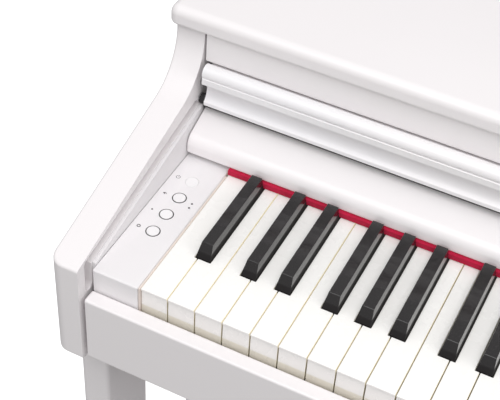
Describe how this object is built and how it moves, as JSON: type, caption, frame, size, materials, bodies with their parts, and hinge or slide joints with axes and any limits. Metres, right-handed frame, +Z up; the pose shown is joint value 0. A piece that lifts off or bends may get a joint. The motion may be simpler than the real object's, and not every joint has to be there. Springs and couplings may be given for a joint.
{
  "type": "digital piano on stand",
  "caption": "Full-size console digital piano on a panel stand, with a sliding fallboard, hinged weighted keys, folding music rest and three pedals.",
  "frame": {"origin": "on the floor, midway between the ends and between front and back", "axes": "+X towards the treble end, +Y towards the back, +Z up"},
  "size_m": [1.378, 0.46, 0.9928],
  "materials": {
    "satin_white_cabinet": "satin white foil with a faint grain",
    "white_hardboard": "matte painted hardboard",
    "white_panel_plastic": "fine matte white",
    "fallboard_lip_white": "satin white lacquer",
    "white_key_plastic": "ivory-white with a soft sheen",
    "black_key_plastic": "fine-grained satin charcoal",
    "button_plastic": "matte white",
    "red_felt": "woven red felt",
    "grey_felt": "grey felt",
    "rubber": "matte black",
    "dark_plastic": "textured black",
    "circuit_board": "green solder mask",
    "pedal_brass": "polished",
    "brushed_metal": "brushed",
    "weight_steel": "plain",
    "bolt_steel": "zinc plated",
    "grille_metal": "matte black"
  },
  "bodies": {
    "cabinet": {"assembly_bolts": "bolt_steel", "back_panel": "white_hardboard", "bass_control_block": "white_panel_plastic", "bass_foot": "satin_white_cabinet", "bass_front_leg": "satin_white_cabinet", "bass_side_panel": "satin_white_cabinet", "bass_stand_board": "satin_white_cabinet", "connector_panel": "dark_plastic", "control_board": "circuit_board", "hammer_row": "weight_steel", "headphone_box": "dark_plastic", "key_bed": "satin_white_cabinet", "key_chassis": "dark_plastic", "key_slip": "satin_white_cabinet", "key_stop_felt": "grey_felt", "lower_back_board": "satin_white_cabinet", "main_board": "circuit_board", "music_rest_ears": "brushed_metal", "nameboard": "satin_white_cabinet", "pedal_board": "satin_white_cabinet", "pedal_pivot_rod": "weight_steel", "red_felt_strip": "red_felt", "rubber_pads": "rubber", "sensor_board": "circuit_board", "speaker_grilles": "grille_metal", "speakers": "dark_plastic", "top_board": "satin_white_cabinet", "track_guide_strips": "white_panel_plastic", "treble_end_block": "white_panel_plastic", "treble_foot": "satin_white_cabinet", "treble_front_leg": "satin_white_cabinet", "treble_side_panel": "satin_white_cabinet", "treble_stand_board": "satin_white_cabinet", "upper_front_board": "satin_white_cabinet"},
    "key_a0": {"key_a0": "white_key_plastic"},
    "key_b0": {"key_b0": "white_key_plastic"},
    "key_c1": {"key_c1": "white_key_plastic"},
    "key_d1": {"key_d1": "white_key_plastic"},
    "key_e1": {"key_e1": "white_key_plastic"},
    "key_f1": {"key_f1": "white_key_plastic"},
    "key_g1": {"key_g1": "white_key_plastic"},
    "key_a_sharp0": {"key_a_sharp0": "black_key_plastic"},
    "key_c_sharp1": {"key_c_sharp1": "black_key_plastic"},
    "key_d_sharp1": {"key_d_sharp1": "black_key_plastic"},
    "key_f_sharp1": {"key_f_sharp1": "black_key_plastic"},
    "key_g_sharp1": {"key_g_sharp1": "black_key_plastic"},
    "upper_naturals": {"naturals_a1_to_c8": "white_key_plastic"},
    "upper_sharps": {"sharps_a_sharp1_to_a_sharp7": "black_key_plastic"},
    "lower_round_button": {"lower_round_button": "button_plastic"},
    "middle_round_button": {"middle_round_button": "button_plastic"},
    "upper_round_button": {"upper_round_button": "button_plastic"},
    "power_button": {"power_button": "button_plastic"},
    "soft_pedal": {"soft_pedal": "pedal_brass"},
    "sostenuto_pedal": {"sostenuto_pedal": "pedal_brass"},
    "damper_pedal": {"damper_pedal": "pedal_brass"},
    "pedal_adjuster": {"pedal_adjuster": "dark_plastic"},
    "fallboard": {"fallboard_lip": "fallboard_lip_white", "fallboard_panel": "satin_white_cabinet"},
    "music_rest": {"music_rest": "satin_white_cabinet"},
    "music_rest_prop": {"music_rest_prop": "brushed_metal"}
  },
  "joints": [
    {"name": "key_a0_press", "type": "hinge", "parent": "cabinet", "child": "key_a0", "pos_m": [-0.60078, 0.016, 0.709], "axis": [1, 0, 0], "range_deg": [0, 2.6], "stiffness_Nm_per_rad": 2, "springref_deg": -5.73},
    {"name": "key_b0_press", "type": "hinge", "parent": "cabinet", "child": "key_b0", "pos_m": [-0.57722, 0.016, 0.709], "axis": [1, 0, 0], "range_deg": [0, 2.6], "stiffness_Nm_per_rad": 2, "springref_deg": -5.73},
    {"name": "key_c1_press", "type": "hinge", "parent": "cabinet", "child": "key_c1", "pos_m": [-0.55366, 0.016, 0.709], "axis": [1, 0, 0], "range_deg": [0, 2.6], "stiffness_Nm_per_rad": 2, "springref_deg": -5.73},
    {"name": "key_d1_press", "type": "hinge", "parent": "cabinet", "child": "key_d1", "pos_m": [-0.5301, 0.016, 0.709], "axis": [1, 0, 0], "range_deg": [0, 2.6], "stiffness_Nm_per_rad": 2, "springref_deg": -5.73},
    {"name": "key_e1_press", "type": "hinge", "parent": "cabinet", "child": "key_e1", "pos_m": [-0.50654, 0.016, 0.709], "axis": [1, 0, 0], "range_deg": [0, 2.6], "stiffness_Nm_per_rad": 2, "springref_deg": -5.73},
    {"name": "key_f1_press", "type": "hinge", "parent": "cabinet", "child": "key_f1", "pos_m": [-0.48298, 0.016, 0.709], "axis": [1, 0, 0], "range_deg": [0, 2.6], "stiffness_Nm_per_rad": 2, "springref_deg": -5.73},
    {"name": "key_g1_press", "type": "hinge", "parent": "cabinet", "child": "key_g1", "pos_m": [-0.45942, 0.016, 0.709], "axis": [1, 0, 0], "range_deg": [0, 2.6], "stiffness_Nm_per_rad": 2, "springref_deg": -5.73},
    {"name": "key_a_sharp0_press", "type": "hinge", "parent": "cabinet", "child": "key_a_sharp0", "pos_m": [-0.5848, 0.016, 0.709], "axis": [1, 0, 0], "range_deg": [0, 2.6], "stiffness_Nm_per_rad": 1.6, "springref_deg": -5.73},
    {"name": "key_c_sharp1_press", "type": "hinge", "parent": "cabinet", "child": "key_c_sharp1", "pos_m": [-0.54488, 0.016, 0.709], "axis": [1, 0, 0], "range_deg": [0, 2.6], "stiffness_Nm_per_rad": 1.6, "springref_deg": -5.73},
    {"name": "key_d_sharp1_press", "type": "hinge", "parent": "cabinet", "child": "key_d_sharp1", "pos_m": [-0.51532, 0.016, 0.709], "axis": [1, 0, 0], "range_deg": [0, 2.6], "stiffness_Nm_per_rad": 1.6, "springref_deg": -5.73},
    {"name": "key_f_sharp1_press", "type": "hinge", "parent": "cabinet", "child": "key_f_sharp1", "pos_m": [-0.4754, 0.016, 0.709], "axis": [1, 0, 0], "range_deg": [0, 2.6], "stiffness_Nm_per_rad": 1.6, "springref_deg": -5.73},
    {"name": "key_g_sharp1_press", "type": "hinge", "parent": "cabinet", "child": "key_g_sharp1", "pos_m": [-0.44764, 0.016, 0.709], "axis": [1, 0, 0], "range_deg": [0, 2.6], "stiffness_Nm_per_rad": 1.6, "springref_deg": -5.73},
    {"name": "upper_naturals_press", "type": "hinge", "parent": "cabinet", "child": "upper_naturals", "pos_m": [0, 0.016, 0.709], "axis": [1, 0, 0], "range_deg": [0, 2.6], "stiffness_Nm_per_rad": 90, "springref_deg": -5.73},
    {"name": "upper_sharps_press", "type": "hinge", "parent": "cabinet", "child": "upper_sharps", "pos_m": [0, 0.016, 0.709], "axis": [1, 0, 0], "range_deg": [0, 2.6], "stiffness_Nm_per_rad": 50, "springref_deg": -5.73},
    {"name": "lower_round_button_press", "type": "slide", "parent": "cabinet", "child": "lower_round_button", "axis": [0, 0, -1], "range_m": [0, 0.0008], "stiffness_N_per_m": 250, "springref_m": -0.001},
    {"name": "middle_round_button_press", "type": "slide", "parent": "cabinet", "child": "middle_round_button", "axis": [0, 0, -1], "range_m": [0, 0.0008], "stiffness_N_per_m": 250, "springref_m": -0.001},
    {"name": "upper_round_button_press", "type": "slide", "parent": "cabinet", "child": "upper_round_button", "axis": [0, 0, -1], "range_m": [0, 0.0008], "stiffness_N_per_m": 250, "springref_m": -0.001},
    {"name": "power_button_press", "type": "slide", "parent": "cabinet", "child": "power_button", "axis": [0, 0, -1], "range_m": [0, 0.0008], "stiffness_N_per_m": 250, "springref_m": -0.001},
    {"name": "soft_pedal_press", "type": "hinge", "parent": "cabinet", "child": "soft_pedal", "pos_m": [-0.072, 0.077, 0.101], "axis": [1, 0, 0], "range_deg": [0, 6.5], "stiffness_Nm_per_rad": 30, "springref_deg": -3.44},
    {"name": "sostenuto_pedal_press", "type": "hinge", "parent": "cabinet", "child": "sostenuto_pedal", "pos_m": [0, 0.077, 0.101], "axis": [1, 0, 0], "range_deg": [0, 6.5], "stiffness_Nm_per_rad": 30, "springref_deg": -3.44},
    {"name": "damper_pedal_press", "type": "hinge", "parent": "cabinet", "child": "damper_pedal", "pos_m": [0.072, 0.077, 0.101], "axis": [1, 0, 0], "range_deg": [0, 6.5], "stiffness_Nm_per_rad": 30, "springref_deg": -3.44},
    {"name": "pedal_adjuster_screw", "type": "slide", "parent": "cabinet", "child": "pedal_adjuster", "axis": [0, 0, 1], "range_m": [0, 0.006]},
    {"name": "fallboard_slide", "type": "slide", "parent": "cabinet", "child": "fallboard", "axis": [0, -0.9824, -0.1867], "range_m": [0, 0.187]},
    {"name": "music_rest_fold", "type": "hinge", "parent": "cabinet", "child": "music_rest", "pos_m": [0, 0, 0.861], "axis": [1, 0, 0], "range_deg": [-70, 0]},
    {"name": "music_rest_prop_fold", "type": "hinge", "parent": "music_rest", "child": "music_rest_prop", "pos_m": [0, 0.0252, 0.9159], "axis": [1, 0, 0], "range_deg": [0, 127.7]}
  ],
  "couplings": [
    {"joint": "music_rest_prop_fold", "follows": "music_rest_fold", "ratio": -1.8243}
  ]
}
